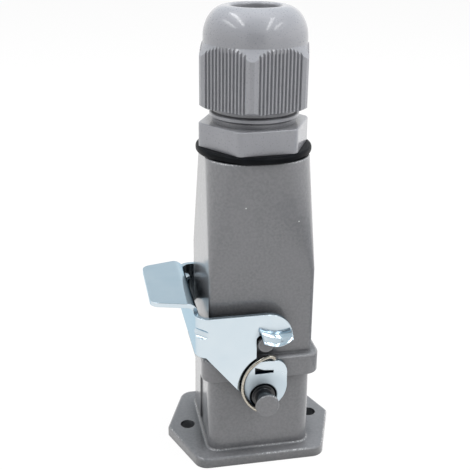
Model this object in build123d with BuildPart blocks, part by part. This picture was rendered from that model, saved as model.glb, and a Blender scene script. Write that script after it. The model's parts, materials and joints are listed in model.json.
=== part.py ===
"""Small rectangular power connector: square hood on a panel base, one locking lever, cable gland.

Origin: middle of the two panel holes, on the underside of the flange.
X runs through the panel holes with the lever handle at -X, the front side is -Y, Z is up.
Sizes in millimetres.
"""

import math
import os

from build123d import *

os.makedirs("parts", exist_ok=True)

# driving sizes
# panel base
BODY_HALF = 11.6
BODY_CORNER_R = 2.75
HOLE_R = 1.7
FLANGE_T = 2.4
FLANGE_CORNER_R = 3.2
RIM_Z = 24.2
RECESS_DEPTH = 0.3
PIVOT_R = 2.65
FLANGE_GASKET_W = 1.5
FLANGE_GASKET_T = 1.2

# hood
GASKET_T = 0.8
COLLAR_WALL = 1.35
COLLAR_CORNER_R = 3.0
HOOD_CORNER_R = 1.0
HOOD_TOP_CORNER_R = 7.5
HOOD_WALL = 1.55
HOOD_SQUARE_H = 19.6
HOOD_TAPER_H = 24.3
LOCK_PEG_R = 1.7

# fits
INSERT_GAP = 0.1
FIT = 0.05
SCREW_HEAD_H = 1.0
GROUND_T = 0.5

# cable gland
GLAND_STUB_R = 9.25
WASHER_T = 1.55
HEX_H = 5.05
HEX_TURN = -25.7
THREAD_PITCH = 2.0
NECK_H = 9.3
FINGERS = 12
NUT_SKIRT_H = 12.75
NUT_DOME_H = 7.25
NUT_TURN = -14.8
NUT_GROOVES = 12
NUT_GROOVE_D = 0.42
NUT_PILLAR_W = 2.7
SEAL_H = 9.0

# locking lever
SHEET = 1.0
EYE_STEP = 0.8
BEND_R = 3.0
TAB_BEND_R = 2.5
TAB_L = 8.9
DISH_RUN = 0.9
SPRING_WIRE_R = 0.42

# derived sizes: panel base
HOLE_SPACING = 2 * (BODY_HALF + 3.4)
FLANGE_POINT = HOLE_SPACING / 2 + 4.8
FLANGE_SIDE_X = BODY_HALF + 2.7
FLANGE_HALF_Y = BODY_HALF + 3.0
BODY_FOOT_HALF = BODY_HALF + 0.15
CAVITY_HALF = BODY_HALF - 2.1
RIM_POCKET_HALF = BODY_HALF - 1.45
RECESS_FROM_Y = 3.6 - BODY_HALF
RECESS_TO_Y = RECESS_FROM_Y + 9.0
FLANGE_GASKET_HALF = BODY_HALF
LEDGE_Z = RIM_Z - 4.0
RIM_TOP_Z = RIM_Z - 1.0
RECESS_TOP_Z = RIM_Z - 5.2
PIVOT_Z = RIM_Z - 6.5

# derived sizes: hood
COLLAR_INNER = BODY_HALF + 0.3
COLLAR_HALF = COLLAR_INNER + COLLAR_WALL
COLLAR_BOTTOM_Z = RIM_Z - 2.9
CEILING_Z = RIM_Z + GASKET_T
COLLAR_TOP_Z = CEILING_Z + 1.4
TAPER_FROM_Z = COLLAR_TOP_Z + HOOD_SQUARE_H
HOOD_TOP_Z = TAPER_FROM_Z + HOOD_TAPER_H
HOOD_THREAD_Z = HOOD_TOP_Z - 9.8
HOOD_TOP_HALF = GLAND_STUB_R + 1.95
HOOD_INNER = BODY_HALF - HOOD_WALL
HOOD_BORE_R = GLAND_STUB_R + FIT
LOCK_PEG_Z = CEILING_Z + 6.3

# derived sizes: inserts, in proportion to the cavity that holds them
PLAN = CAVITY_HALF / 9.5
CONTACT_PITCH = 6.6 * PLAN
PIN_R = 1.2 * PLAN
SOCKET_R = 1.7 * PLAN
SCREW_R = 1.3 * PLAN
POST = 4.2 * PLAN
SCREW_HEAD_R = 1.95 * PLAN
TERMINAL_R = 2.0 * PLAN
TERMINAL_BORE_R = 1.35 * PLAN
SET_SCREW_R = 1.1 * PLAN
SET_SCREW_OUT = CAVITY_HALF - 1.3
PLUG_HALF = 6.5 * PLAN
SKIRT_CAVITY_HALF = PLUG_HALF + 0.3
MALE_BODY_HALF = CAVITY_HALF - 0.6
MALE_RIM_HALF = HOOD_INNER - 0.2
FEMALE_BOTTOM_Z = LEDGE_Z - 15.7
SOCKET_BOTTOM_Z = FEMALE_BOTTOM_Z + 1.5
FEMALE_SCREW_Z = FEMALE_BOTTOM_Z + 6.0
PLUG_TOP_Z = RIM_TOP_Z + 8.2
SKIRT_BOTTOM_Z = CEILING_Z + 0.3
SKIRT_CAVITY_Z = PLUG_TOP_Z + 1.6
MALE_RIM_Z0 = CEILING_Z + 5.0
MALE_RIM_Z1 = MALE_RIM_Z0 + 3.0
MALE_TOP_Z = MALE_RIM_Z1 + 13.0
PIN_TIP_Z = SKIRT_BOTTOM_Z + 0.6
MALE_SCREW_Z = MALE_TOP_Z - 4.0
INSERT_HALF = CAVITY_HALF - INSERT_GAP
RIM_HALF = RIM_POCKET_HALF - INSERT_GAP
CONTACTS = [(x * CONTACT_PITCH / 2, y * CONTACT_PITCH / 2) for x in (-1, 1) for y in (-1, 1)]
POST_X = CAVITY_HALF - POST / 2
POST_HALF = POST / 2 + 0.2
HOOD_POST = HOOD_INNER + 0.2 - POST_X + POST_HALF
HOOD_POST_X = HOOD_INNER + 0.2 - HOOD_POST / 2
MALE_SEAT_Z = MALE_RIM_Z0 + SCREW_HEAD_H
HEAD_ROOM_R = SCREW_HEAD_R + 0.25

# derived sizes: cable gland
WASHER_R = GLAND_STUB_R + 3.15
GLAND_STUB_BOTTOM_Z = HOOD_TOP_Z - 8.3
GLAND_HEX_AF = 2 * GLAND_STUB_R + 2.7
NECK_CREST_R = GLAND_STUB_R + 0.25
NECK_ROOT_R = NECK_CREST_R - 0.6
CAGE_OUTER_R = NECK_ROOT_R - 0.6
CAGE_TIP_R = CAGE_OUTER_R - 0.5
CAGE_BORE_R = CAGE_OUTER_R - 1.2
GLAND_BORE_R = CAGE_BORE_R - 1.5
SEAL_R = CAGE_BORE_R - 0.5
SEAL_BORE_R = SEAL_R - 2.3
HEX_BOTTOM_Z = HOOD_TOP_Z + WASHER_T
HEX_TOP_Z = HEX_BOTTOM_Z + HEX_H
NECK_TOP_Z = HEX_TOP_Z + NECK_H
CAGE_TOP_Z = NECK_TOP_Z + 6.8
CAGE_FLOOR_Z = NECK_TOP_Z - 5.6
SEAL_BOTTOM_Z = CAGE_FLOOR_Z + 2.4
SEAL_TOP_Z = SEAL_BOTTOM_Z + SEAL_H
HEX_AF = GLAND_HEX_AF + 0.8
HEX_TRIM_R = 0.5659 * HEX_AF
DOME_R = HEX_AF / 2 - 0.2
ENTRY_R = SEAL_BORE_R + 0.9
NUT_BORE_R = NECK_CREST_R + FIT
NUT_BOTTOM_Z = NECK_TOP_Z - 5.75
NUT_FLAT_TOP_Z = NUT_BOTTOM_Z + NUT_SKIRT_H
NUT_CORNER_TOP_Z = NUT_FLAT_TOP_Z - 2.2
NUT_BORE_TOP_Z = CAGE_TOP_Z - 1.4
DOME_TOP_Z = NUT_FLAT_TOP_Z + NUT_DOME_H
NUT_CONE = ((NUT_BORE_R - 0.65, CAGE_TOP_Z + 1.8), (ENTRY_R + 1.4, CAGE_TOP_Z + 4.6))

# derived sizes: locking lever
EYE_INNER_Y = COLLAR_HALF + 0.25
EYE_Y = EYE_INNER_Y + SHEET
LEVER_Y = EYE_Y + EYE_STEP
PLATE_INNER_Y = LEVER_Y - SHEET
PIVOT_END_Y = LEVER_Y + 3.5
LOCK_PEG_END_Y = LEVER_Y + 0.9
LIP_Y = LOCK_PEG_END_Y + 0.3
EYE_HOLE_R = PIVOT_R + FIT
EYE_R = PIVOT_R + 1.4
EYE_SIDE_X = EYE_R + 1.23
BRIDGE_X = -(BODY_HALF + 2.4 + SHEET)
HOOK_R = LOCK_PEG_Z + LOCK_PEG_R + 0.3 - PIVOT_Z
PLATE_TOP_Z = PIVOT_Z + HOOK_R + 4.85
BRIDGE_BOTTOM_Z = PLATE_TOP_Z - 9.25
TAB_Z = PLATE_TOP_Z + 2.25
TAB_END_X = BRIDGE_X - TAB_L
NECK_HALF = LEVER_Y - 3.7
TAB_END_HALF = NECK_HALF - 2.0
SLOT_X = -(LOCK_PEG_R + 0.2)
DISH_X = 2.65
DISH_Z = PIVOT_Z + 2.8
DISH_FLOOR_R = 7.8
SPRING_X = DISH_X - 0.15
SPRING_Z = DISH_Z + 0.1
SPRING_R = 7.3
HOOK_TIP_X = 5.6
PLATE_FOOT_Z = PIVOT_Z - EYE_R - 3.0
DART_Z = PLATE_TOP_Z - 3.65
DART_R = 1.3


# base housing: flange, body with spigot rim, two pivot pegs
with BuildPart() as base_housing:
    with BuildSketch(Plane.XY):
        with BuildLine():
            Polyline(
                (FLANGE_POINT, 0), (FLANGE_SIDE_X, FLANGE_HALF_Y), (-FLANGE_SIDE_X, FLANGE_HALF_Y),
                (-FLANGE_POINT, 0), (-FLANGE_SIDE_X, -FLANGE_HALF_Y), (FLANGE_SIDE_X, -FLANGE_HALF_Y),
                close=True,
            )
        make_face()
    extrude(amount=FLANGE_T)
    upright = base_housing.edges().filter_by(Axis.Z)
    fillet(upright.filter_by(lambda e: abs(e.center().Y) > 1), FLANGE_CORNER_R)
    points = base_housing.edges().filter_by(Axis.Z).filter_by(lambda e: abs(e.center().Y) < 1)
    fillet(points, 1.2)
    fillet(base_housing.faces().sort_by(Axis.Z)[-1].edges(), 0.6)
    with BuildSketch(Plane.XY.offset(FLANGE_T - 0.6)):
        RectangleRounded(2 * BODY_FOOT_HALF, 2 * BODY_FOOT_HALF, BODY_CORNER_R)
    with BuildSketch(Plane.XY.offset(RIM_Z)):
        RectangleRounded(2 * BODY_HALF, 2 * BODY_HALF, BODY_CORNER_R)
    loft(ruled=True)
    foot = base_housing.edges().filter_by(
        lambda e: abs(e.center().Z - FLANGE_T) < 0.05 and max(abs(e.center().X), abs(e.center().Y)) < BODY_FOOT_HALF + 0.25
    )
    fillet(foot, 0.5)
    # pivot pegs, front and back
    with BuildSketch(Plane.XZ.offset(-PIVOT_END_Y)):
        with Locations((0, PIVOT_Z)):
            Circle(PIVOT_R)
    extrude(amount=2 * PIVOT_END_Y)
    ends = base_housing.edges().filter_by(GeomType.CIRCLE).filter_by(
        lambda e: abs(abs(e.center().Y) - PIVOT_END_Y) < 0.01
    )
    fillet(ends, 0.3)
    for side in (-1, 1):
        with BuildSketch(Plane.XZ.offset(-side * (EYE_Y + 0.15))):
            with Locations((0, PIVOT_Z)):
                Circle(PIVOT_R + 1)
                Circle(PIVOT_R - 0.7, mode=Mode.SUBTRACT)
        extrude(amount=-side * (PIVOT_END_Y - EYE_Y - 0.95), mode=Mode.SUBTRACT)
    # inside: main cavity and the wider pocket that takes the insert's rim
    with BuildSketch(Plane.XY):
        RectangleRounded(2 * CAVITY_HALF, 2 * CAVITY_HALF, 1.2)
    extrude(amount=RIM_Z, mode=Mode.SUBTRACT)
    with BuildSketch(Plane.XY.offset(LEDGE_Z)):
        RectangleRounded(2 * RIM_POCKET_HALF, 2 * RIM_POCKET_HALF, 1.6)
    extrude(amount=RIM_Z - LEDGE_Z, mode=Mode.SUBTRACT)
    # two corner posts for the fixing screw and the ground screw
    with BuildSketch(Plane.XY.offset(FEMALE_BOTTOM_Z + 0.5)):
        with Locations((POST_X, POST_X), (-POST_X, -POST_X)):
            Rectangle(2 * POST_HALF, 2 * POST_HALF)
    extrude(amount=LEDGE_Z - FEMALE_BOTTOM_Z - 0.5)
    with BuildSketch(Plane.XY.offset(LEDGE_Z)):
        with Locations((POST_X, POST_X), (-POST_X, -POST_X)):
            Circle(SCREW_R + FIT)
    extrude(amount=-11.0, mode=Mode.SUBTRACT)
    # panel holes
    with BuildSketch(Plane.XY):
        with Locations((-HOLE_SPACING / 2, 0), (HOLE_SPACING / 2, 0)):
            Circle(HOLE_R)
    extrude(amount=FLANGE_T + 1, mode=Mode.SUBTRACT)
    # groove for the flange gasket
    with BuildSketch(Plane.XY):
        RectangleRounded(2 * FLANGE_GASKET_HALF, 2 * FLANGE_GASKET_HALF, 2.4)
        RectangleRounded(
            2 * (FLANGE_GASKET_HALF - FLANGE_GASKET_W), 2 * (FLANGE_GASKET_HALF - FLANGE_GASKET_W),
            1.0, mode=Mode.SUBTRACT,
        )
    extrude(amount=FLANGE_GASKET_T, mode=Mode.SUBTRACT)
    # shallow recess on the left side of the body
    with BuildSketch(Plane.YZ.offset(-BODY_FOOT_HALF - 1)):
        with Locations(((RECESS_FROM_Y + RECESS_TO_Y) / 2, (FLANGE_T + 1.2 + RECESS_TOP_Z) / 2)):
            Rectangle(RECESS_TO_Y - RECESS_FROM_Y, RECESS_TOP_Z - FLANGE_T - 1.2)
    extrude(amount=1 + (BODY_FOOT_HALF - BODY_HALF) / 2 + RECESS_DEPTH, mode=Mode.SUBTRACT)
base_housing.part.label = "base_housing"
export_step(base_housing.part, "parts/base_housing.step")

# gasket in the flange groove
with BuildPart() as flange_gasket:
    with BuildSketch(Plane.XY):
        RectangleRounded(2 * FLANGE_GASKET_HALF, 2 * FLANGE_GASKET_HALF, 2.4)
        RectangleRounded(
            2 * (FLANGE_GASKET_HALF - FLANGE_GASKET_W), 2 * (FLANGE_GASKET_HALF - FLANGE_GASKET_W),
            1.0, mode=Mode.SUBTRACT,
        )
    extrude(amount=FLANGE_GASKET_T)
flange_gasket.part.label = "flange_gasket"
export_step(flange_gasket.part, "parts/flange_gasket.step")

# socket insert: body with two corner notches, rim, raised plug block, contact holes
with BuildPart() as female_insert:
    with BuildSketch(Plane.XY.offset(FEMALE_BOTTOM_Z)):
        RectangleRounded(2 * INSERT_HALF, 2 * INSERT_HALF, 1.1)
    extrude(amount=LEDGE_Z - FEMALE_BOTTOM_Z)
    with BuildSketch(Plane.XY.offset(FEMALE_BOTTOM_Z)):
        with Locations((POST_X, POST_X), (-POST_X, -POST_X)):
            Rectangle(2 * POST_HALF + 0.4, 2 * POST_HALF + 0.4)
    extrude(amount=LEDGE_Z - FEMALE_BOTTOM_Z, mode=Mode.SUBTRACT)
    with BuildSketch(Plane.XY.offset(LEDGE_Z)):
        RectangleRounded(2 * RIM_HALF, 2 * RIM_HALF, 1.5)
    extrude(amount=RIM_TOP_Z - LEDGE_Z)
    with BuildSketch(Plane.XY.offset(RIM_TOP_Z)):
        RectangleRounded(2 * PLUG_HALF, 2 * PLUG_HALF, 1.0)
    extrude(amount=PLUG_TOP_Z - RIM_TOP_Z)
    chamfer(female_insert.faces().sort_by(Axis.Z)[-1].edges(), 0.5)
    # room in the plug block for the screw heads
    with BuildSketch(Plane.XY.offset(RIM_TOP_Z)):
        with Locations((POST_X, POST_X), (-POST_X, -POST_X)):
            Circle(HEAD_ROOM_R + 0.2)
    extrude(amount=PLUG_TOP_Z - RIM_TOP_Z, mode=Mode.SUBTRACT)
    # contact holes: wide at the terminal, narrower in the plug block, small at the mouth
    with BuildSketch(Plane.XY.offset(FEMALE_BOTTOM_Z)):
        with Locations(*CONTACTS):
            Circle(TERMINAL_R)
    extrude(amount=RIM_TOP_Z - 3.0 - FEMALE_BOTTOM_Z, mode=Mode.SUBTRACT)
    with BuildSketch(Plane.XY.offset(FEMALE_BOTTOM_Z)):
        with Locations(*CONTACTS):
            Circle(SOCKET_R + INSERT_GAP)
    extrude(amount=PLUG_TOP_Z - 0.6 - FEMALE_BOTTOM_Z, mode=Mode.SUBTRACT)
    with BuildSketch(Plane.XY.offset(FEMALE_BOTTOM_Z)):
        with Locations(*CONTACTS):
            Circle(PIN_R + 0.2)
    extrude(amount=PLUG_TOP_Z - FEMALE_BOTTOM_Z, mode=Mode.SUBTRACT)
    # terminal screw shafts from the front and back sides
    with BuildSketch(Plane.XZ.offset(-INSERT_HALF)):
        with Locations((-CONTACT_PITCH / 2, FEMALE_SCREW_Z), (CONTACT_PITCH / 2, FEMALE_SCREW_Z)):
            Circle(SET_SCREW_R + 0.25)
    extrude(amount=2 * INSERT_HALF, mode=Mode.SUBTRACT)
    # screw holes through the rim
    with BuildSketch(Plane.XY.offset(RIM_TOP_Z)):
        with Locations((POST_X, POST_X), (-POST_X, -POST_X)):
            Circle(SCREW_R + 0.15)
    extrude(amount=LEDGE_Z - RIM_TOP_Z - 1, mode=Mode.SUBTRACT)
female_insert.part.label = "female_insert"
export_step(female_insert.part, "parts/female_insert.step")

# four socket contacts: slit tube above, drilled terminal below
with BuildPart() as socket_contacts:
    with BuildSketch(Plane.XY.offset(SOCKET_BOTTOM_Z)):
        with Locations(*CONTACTS):
            Circle(TERMINAL_R - INSERT_GAP)
    extrude(amount=RIM_TOP_Z - 3.2 - SOCKET_BOTTOM_Z)
    with BuildSketch(Plane.XY.offset(SOCKET_BOTTOM_Z)):
        with Locations(*CONTACTS):
            Circle(SOCKET_R)
    extrude(amount=PLUG_TOP_Z - 0.8 - SOCKET_BOTTOM_Z)
    with BuildSketch(Plane.XY.offset(PLUG_TOP_Z - 0.8)):
        with Locations(*CONTACTS):
            Circle(PIN_R + FIT)
    extrude(amount=-9.0, mode=Mode.SUBTRACT)
    with BuildSketch(Plane.XY.offset(PLUG_TOP_Z - 0.8)):
        with Locations(*CONTACTS):
            Rectangle(0.4, 2 * SOCKET_R + 1)
    extrude(amount=-6.5, mode=Mode.SUBTRACT)
    with BuildSketch(Plane.XY.offset(SOCKET_BOTTOM_Z)):
        with Locations(*CONTACTS):
            Circle(TERMINAL_BORE_R)
    extrude(amount=7.5, mode=Mode.SUBTRACT)
    with BuildSketch(Plane.XZ.offset(-INSERT_HALF)):
        with Locations((-CONTACT_PITCH / 2, FEMALE_SCREW_Z), (CONTACT_PITCH / 2, FEMALE_SCREW_Z)):
            Circle(SET_SCREW_R)
    cut_depth = INSERT_HALF - CONTACT_PITCH / 2
    extrude(amount=cut_depth, mode=Mode.SUBTRACT)
    with BuildSketch(Plane.XZ.offset(INSERT_HALF)):
        with Locations((-CONTACT_PITCH / 2, FEMALE_SCREW_Z), (CONTACT_PITCH / 2, FEMALE_SCREW_Z)):
            Circle(SET_SCREW_R)
    extrude(amount=-cut_depth, mode=Mode.SUBTRACT)
socket_contacts.part.label = "socket_contacts"
export_step(socket_contacts.part, "parts/socket_contacts.step")


# terminal screws of the socket side, pointing in from front and back
def side_screws(z, outer, inner, slot_w=0.5):
    """Four slotted set screws with axes along Y at height z."""
    with BuildPart() as screws:
        for side in (-1, 1):
            plane = Plane.XZ.offset(-side * outer)
            with BuildSketch(plane):
                with Locations((-CONTACT_PITCH / 2, z), (CONTACT_PITCH / 2, z)):
                    Circle(SET_SCREW_R - FIT)
            extrude(amount=side * (outer - inner))
            with BuildSketch(plane):
                with Locations((-CONTACT_PITCH / 2, z), (CONTACT_PITCH / 2, z)):
                    Rectangle(slot_w, 2 * SET_SCREW_R + 1)
            extrude(amount=side * 0.7, mode=Mode.SUBTRACT)
    return screws


female_terminal_screws = side_screws(FEMALE_SCREW_Z, SET_SCREW_OUT, CONTACT_PITCH / 2 + 0.9 * PLAN)
female_terminal_screws.part.label = "female_terminal_screws"
export_step(female_terminal_screws.part, "parts/female_terminal_screws.step")


# rim screws: pan head above the rim, shank into a housing post
def rim_screw(x, y, seat_z, length, up=1):
    """Slotted pan head screw whose head sits on seat_z and whose shank points away from the head."""
    with BuildPart() as screw:
        with BuildSketch(Plane.XY.offset(seat_z)):
            with Locations((x, y)):
                Circle(SCREW_HEAD_R)
        extrude(amount=up * SCREW_HEAD_H)
        with BuildSketch(Plane.XY.offset(seat_z)):
            with Locations((x, y)):
                Circle(SCREW_R)
        extrude(amount=-up * length)
        with BuildSketch(Plane.XY.offset(seat_z + up * SCREW_HEAD_H)):
            with Locations((x, y)):
                Rectangle(0.5, 5.0, rotation=45)
        extrude(amount=-up * 0.6, mode=Mode.SUBTRACT)
    return screw


female_fixing_screw = rim_screw(POST_X, POST_X, RIM_TOP_Z, 10.5)
female_fixing_screw.part.label = "female_fixing_screw"
export_step(female_fixing_screw.part, "parts/female_fixing_screw.step")

female_ground_screw = rim_screw(-POST_X, -POST_X, RIM_TOP_Z + GROUND_T, 10.5)
female_ground_screw.part.label = "female_ground_screw"
export_step(female_ground_screw.part, "parts/female_ground_screw.step")

# ground contact of the socket side: flat foot under the screw, blade standing on the plug side
with BuildPart() as female_ground_contact:
    with BuildSketch(Plane.XY.offset(RIM_TOP_Z)):
        with BuildLine():
            Polyline(
                (-RIM_HALF + 0.3, -RIM_HALF + 0.3), (-POST_X + 2.2, -RIM_HALF + 0.3),
                (3.0, -RIM_HALF + 0.3), (3.0, -PLUG_HALF - 0.4), (-POST_X + 2.2, -PLUG_HALF - 0.4),
                (-RIM_HALF + 0.3, -PLUG_HALF - 0.4), close=True,
            )
        make_face()
        with Locations((-POST_X, -POST_X)):
            Circle(SCREW_R + 0.1, mode=Mode.SUBTRACT)
    extrude(amount=GROUND_T)
    with BuildSketch(Plane.XY.offset(RIM_TOP_Z)):
        with Locations((0.5, -PLUG_HALF - 0.05 - GROUND_T / 2)):
            Rectangle(5.0, GROUND_T)
    extrude(amount=0.9)
female_ground_contact.part.label = "female_ground_contact"
export_step(female_ground_contact.part, "parts/female_ground_contact.step")

# hood housing: collar, square body that turns round towards the top, two locking pegs
with BuildPart() as hood_housing:
    with BuildSketch(Plane.XY.offset(COLLAR_BOTTOM_Z)):
        RectangleRounded(2 * COLLAR_HALF, 2 * COLLAR_HALF, COLLAR_CORNER_R)
    extrude(amount=COLLAR_TOP_Z - COLLAR_BOTTOM_Z)
    fillet(hood_housing.faces().sort_by(Axis.Z)[-1].edges(), 0.8)
    bottom = hood_housing.faces().sort_by(Axis.Z)[0].edges()
    fillet(bottom, 0.3)
    with BuildSketch(Plane.XY.offset(COLLAR_TOP_Z - 1.0)):
        RectangleRounded(2 * BODY_HALF, 2 * BODY_HALF, HOOD_CORNER_R)
    extrude(amount=TAPER_FROM_Z - COLLAR_TOP_Z + 1.0)
    with BuildSketch(Plane.XY.offset(TAPER_FROM_Z)):
        RectangleRounded(2 * BODY_HALF, 2 * BODY_HALF, HOOD_CORNER_R)
    with BuildSketch(Plane.XY.offset(HOOD_TOP_Z)):
        RectangleRounded(2 * HOOD_TOP_HALF, 2 * HOOD_TOP_HALF, HOOD_TOP_CORNER_R)
    loft(ruled=True)
    fillet(hood_housing.faces().sort_by(Axis.Z)[-1].edges(), 0.4)
    with BuildSketch(Plane.XZ.offset(-LOCK_PEG_END_Y)):
        with Locations((0, LOCK_PEG_Z)):
            Circle(LOCK_PEG_R)
    extrude(amount=2 * LOCK_PEG_END_Y)
    ends = hood_housing.edges().filter_by(GeomType.CIRCLE).filter_by(
        lambda e: abs(abs(e.center().Y) - LOCK_PEG_END_Y) < 0.01
    )
    fillet(ends, 0.25)
    # inside of the collar, of the square body and of the tapered top
    with BuildSketch(Plane.XY.offset(COLLAR_BOTTOM_Z)):
        RectangleRounded(2 * COLLAR_INNER, 2 * COLLAR_INNER, BODY_CORNER_R + 0.2)
    extrude(amount=CEILING_Z - COLLAR_BOTTOM_Z, mode=Mode.SUBTRACT)
    with BuildSketch(Plane.XY.offset(COLLAR_BOTTOM_Z)):
        RectangleRounded(2 * HOOD_INNER, 2 * HOOD_INNER, 1.0)
    extrude(amount=TAPER_FROM_Z - COLLAR_BOTTOM_Z, mode=Mode.SUBTRACT)
    with BuildSketch(Plane.XY.offset(TAPER_FROM_Z)):
        RectangleRounded(2 * HOOD_INNER, 2 * HOOD_INNER, 1.0)
    with BuildSketch(Plane.XY.offset(HOOD_THREAD_Z)):
        RectangleRounded(2 * (HOOD_BORE_R - 0.5), 2 * (HOOD_BORE_R - 0.5), 4.5)
    loft(ruled=True, mode=Mode.SUBTRACT)
    with BuildSketch(Plane.XY.offset(HOOD_THREAD_Z)):
        Circle(HOOD_BORE_R)
    extrude(amount=HOOD_TOP_Z - HOOD_THREAD_Z, mode=Mode.SUBTRACT)
    # two corner posts over the rim of the pin insert
    with BuildSketch(Plane.XY.offset(MALE_RIM_Z1)):
        with Locations((HOOD_POST_X, HOOD_POST_X), (-HOOD_POST_X, -HOOD_POST_X)):
            Rectangle(HOOD_POST, HOOD_POST)
    extrude(amount=MALE_TOP_Z - MALE_RIM_Z1 - 2)
    with BuildSketch(Plane.XY.offset(MALE_RIM_Z1)):
        with Locations((POST_X, POST_X), (-POST_X, -POST_X)):
            Circle(SCREW_R + FIT)
    extrude(amount=8.0, mode=Mode.SUBTRACT)
hood_housing.part.label = "hood_housing"
export_step(hood_housing.part, "parts/hood_housing.step")

# sealing ring between base rim and hood
with BuildPart() as hood_gasket:
    with BuildSketch(Plane.XY.offset(RIM_Z)):
        RectangleRounded(2 * BODY_HALF - 0.4, 2 * BODY_HALF - 0.4, BODY_CORNER_R - 0.2)
        RectangleRounded(
            2 * RIM_POCKET_HALF + 0.4, 2 * RIM_POCKET_HALF + 0.4, 1.7, mode=Mode.SUBTRACT
        )
    extrude(amount=GASKET_T)
hood_gasket.part.label = "hood_gasket"
export_step(hood_gasket.part, "parts/hood_gasket.step")

# pin insert: skirt around the plug block, rim under the posts, terminal block above
with BuildPart() as male_insert:
    with BuildSketch(Plane.XY.offset(SKIRT_BOTTOM_Z)):
        RectangleRounded(2 * MALE_BODY_HALF, 2 * MALE_BODY_HALF, 1.0)
    extrude(amount=MALE_TOP_Z - SKIRT_BOTTOM_Z)
    with BuildSketch(Plane.XY.offset(MALE_RIM_Z0)):
        RectangleRounded(2 * MALE_RIM_HALF, 2 * MALE_RIM_HALF, 0.9)
    extrude(amount=MALE_RIM_Z1 - MALE_RIM_Z0)
    with BuildSketch(Plane.XY.offset(SKIRT_BOTTOM_Z)):
        RectangleRounded(2 * SKIRT_CAVITY_HALF, 2 * SKIRT_CAVITY_HALF, 1.0)
    extrude(amount=SKIRT_CAVITY_Z - SKIRT_BOTTOM_Z, mode=Mode.SUBTRACT)
    with BuildSketch(Plane.XY.offset(MALE_RIM_Z1)):
        with Locations((POST_X, POST_X), (-POST_X, -POST_X)):
            Rectangle(2 * POST_HALF + 0.4, 2 * POST_HALF + 0.4)
    extrude(amount=MALE_TOP_Z - MALE_RIM_Z1, mode=Mode.SUBTRACT)
    with BuildSketch(Plane.XY.offset(MALE_TOP_Z)):
        with Locations(*CONTACTS):
            Circle(TERMINAL_R)
    extrude(amount=-(MALE_TOP_Z - SKIRT_CAVITY_Z - 2.5), mode=Mode.SUBTRACT)
    with BuildSketch(Plane.XY.offset(MALE_TOP_Z)):
        with Locations(*CONTACTS):
            Circle(PIN_R + INSERT_GAP)
    extrude(amount=-(MALE_TOP_Z - SKIRT_CAVITY_Z + 1), mode=Mode.SUBTRACT)
    with BuildSketch(Plane.XZ.offset(-MALE_BODY_HALF)):
        with Locations((-CONTACT_PITCH / 2, MALE_SCREW_Z), (CONTACT_PITCH / 2, MALE_SCREW_Z)):
            Circle(SET_SCREW_R + 0.25)
    extrude(amount=2 * MALE_BODY_HALF, mode=Mode.SUBTRACT)
    with BuildSketch(Plane.XY.offset(SKIRT_BOTTOM_Z)):
        with Locations((POST_X, POST_X), (-POST_X, -POST_X)):
            Circle(SCREW_R + 0.15)
    extrude(amount=MALE_RIM_Z1 - SKIRT_BOTTOM_Z, mode=Mode.SUBTRACT)
    with BuildSketch(Plane.XY.offset(SKIRT_BOTTOM_Z)):
        with Locations((POST_X, POST_X), (-POST_X, -POST_X)):
            Circle(HEAD_ROOM_R)
    extrude(amount=MALE_SEAT_Z - SKIRT_BOTTOM_Z, mode=Mode.SUBTRACT)
male_insert.part.label = "male_insert"
export_step(male_insert.part, "parts/male_insert.step")

# four pin contacts: pin below, drilled terminal above
with BuildPart() as pin_contacts:
    with BuildSketch(Plane.XY.offset(PIN_TIP_Z)):
        with Locations(*CONTACTS):
            Circle(PIN_R)
    extrude(amount=SKIRT_CAVITY_Z + 3.0 - PIN_TIP_Z)
    tips = pin_contacts.faces().filter_by(Axis.Z).filter_by(lambda f: f.center().Z < PIN_TIP_Z + 0.1).edges()
    fillet(tips, 0.7)
    with BuildSketch(Plane.XY.offset(SKIRT_CAVITY_Z + 2.6)):
        with Locations(*CONTACTS):
            Circle(TERMINAL_R - INSERT_GAP)
    extrude(amount=MALE_TOP_Z - 1.0 - SKIRT_CAVITY_Z - 2.6)
    with BuildSketch(Plane.XY.offset(MALE_TOP_Z - 1.0)):
        with Locations(*CONTACTS):
            Circle(TERMINAL_BORE_R)
    extrude(amount=-6.5, mode=Mode.SUBTRACT)
    with BuildSketch(Plane.XZ.offset(-MALE_BODY_HALF)):
        with Locations((-CONTACT_PITCH / 2, MALE_SCREW_Z), (CONTACT_PITCH / 2, MALE_SCREW_Z)):
            Circle(SET_SCREW_R)
    cut_depth = MALE_BODY_HALF - CONTACT_PITCH / 2
    extrude(amount=cut_depth, mode=Mode.SUBTRACT)
    with BuildSketch(Plane.XZ.offset(MALE_BODY_HALF)):
        with Locations((-CONTACT_PITCH / 2, MALE_SCREW_Z), (CONTACT_PITCH / 2, MALE_SCREW_Z)):
            Circle(SET_SCREW_R)
    extrude(amount=-cut_depth, mode=Mode.SUBTRACT)
pin_contacts.part.label = "pin_contacts"
export_step(pin_contacts.part, "parts/pin_contacts.step")

male_terminal_screws = side_screws(MALE_SCREW_Z, SET_SCREW_OUT, CONTACT_PITCH / 2 + 0.9 * PLAN)
male_terminal_screws.part.label = "male_terminal_screws"
export_step(male_terminal_screws.part, "parts/male_terminal_screws.step")

male_fixing_screw = rim_screw(POST_X, POST_X, MALE_SEAT_Z, 8.0, up=-1)
male_fixing_screw.part.label = "male_fixing_screw"
export_step(male_fixing_screw.part, "parts/male_fixing_screw.step")

male_ground_screw = rim_screw(-POST_X, -POST_X, MALE_SEAT_Z - GROUND_T, 8.0, up=-1)
male_ground_screw.part.label = "male_ground_screw"
export_step(male_ground_screw.part, "parts/male_ground_screw.step")

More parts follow.
